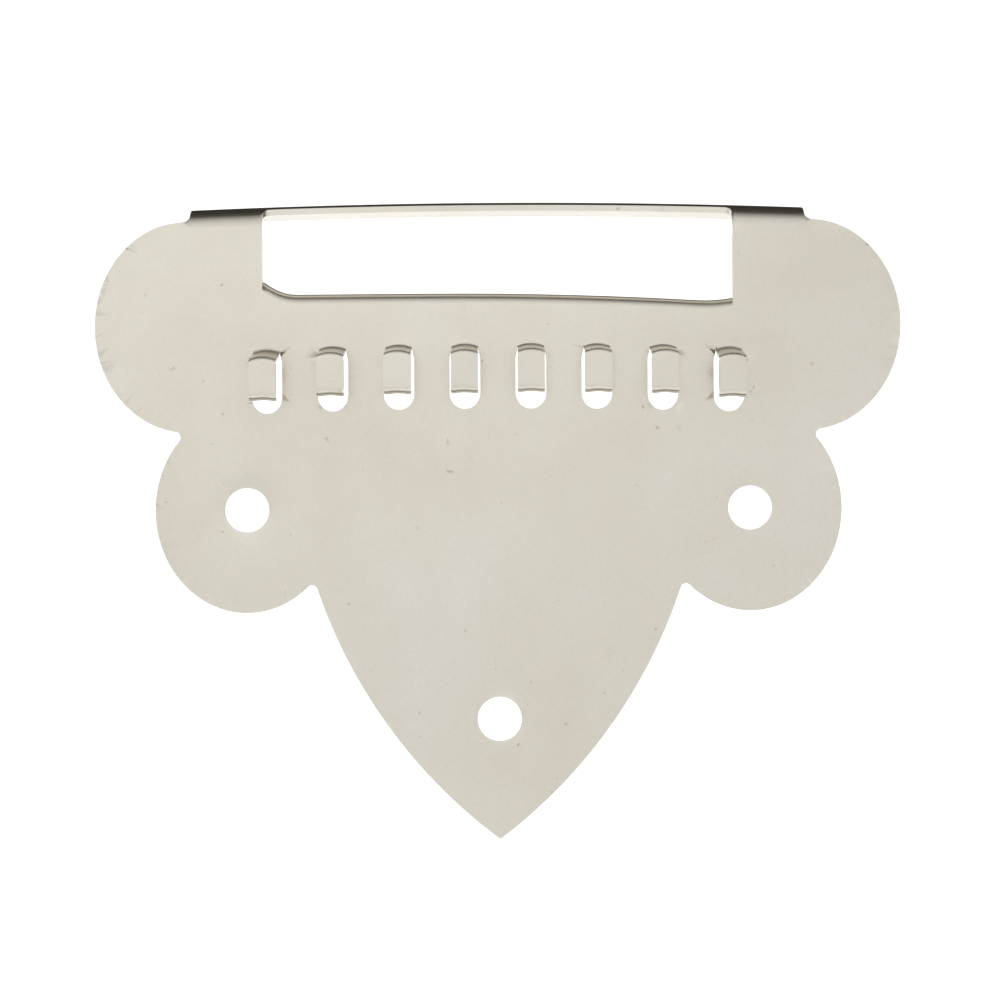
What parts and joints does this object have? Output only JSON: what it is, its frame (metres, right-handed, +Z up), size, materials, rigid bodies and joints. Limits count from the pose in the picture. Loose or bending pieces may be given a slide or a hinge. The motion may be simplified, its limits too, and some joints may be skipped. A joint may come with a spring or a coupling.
{
  "type": "mandolin tailpiece",
  "caption": "Cloud-outlined mandolin tailpiece plate with a folded top flange, a wide window with a rolled lip, a row of raised string hooks and screw holes.",
  "frame": {"origin": "middle of the plate's back face, on the plane of symmetry and on the line through the two side screw holes", "axes": "+Z up the plate from the pointed tip towards the folded flange, -Y out of the show face towards the viewer, +Y out of the back face into the instrument, +X to the viewer's right"},
  "size_m": [0.064, 0.0084, 0.0508],
  "materials": {
    "nickel_plate": "fine satin nickel plating, warm grey"
  },
  "bodies": {
    "root": {"tailpiece_plate": "nickel_plate"}
  },
  "joints": []
}
